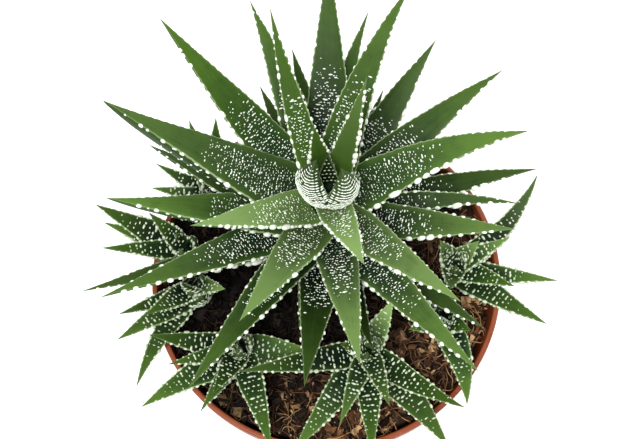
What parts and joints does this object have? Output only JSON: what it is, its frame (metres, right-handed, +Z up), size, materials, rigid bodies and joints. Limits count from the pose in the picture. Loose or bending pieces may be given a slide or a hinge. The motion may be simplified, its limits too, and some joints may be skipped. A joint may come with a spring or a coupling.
{
  "type": "potted haworthia",
  "caption": "Rosette succulent with stiff, pointed, white-banded leaves and small offsets round it, in bark soil in a round tapered plastic nursery pot.",
  "frame": {"origin": "middle of the flat underside of the pot", "axes": "+Z up along the pot's axis, +Y away from the picture's camera, +X to its right"},
  "size_m": [0.1397, 0.1359, 0.1545],
  "materials": {
    "pot_plastic": "smooth terracotta-coloured moulded plastic with a slight sheen",
    "bark_soil": "loose dark bark and peat",
    "leaf": "smooth waxy green skin with white raised dots, teeth and bands"
  },
  "bodies": {
    "root": {"pot": "pot_plastic", "soil": "bark_soil", "main_rosette": "leaf", "offset_back_left": "leaf", "offset_left": "leaf", "offset_front_left": "leaf", "offset_front": "leaf", "offset_front_right": "leaf", "offset_right_small": "leaf", "offset_right": "leaf"}
  },
  "joints": []
}
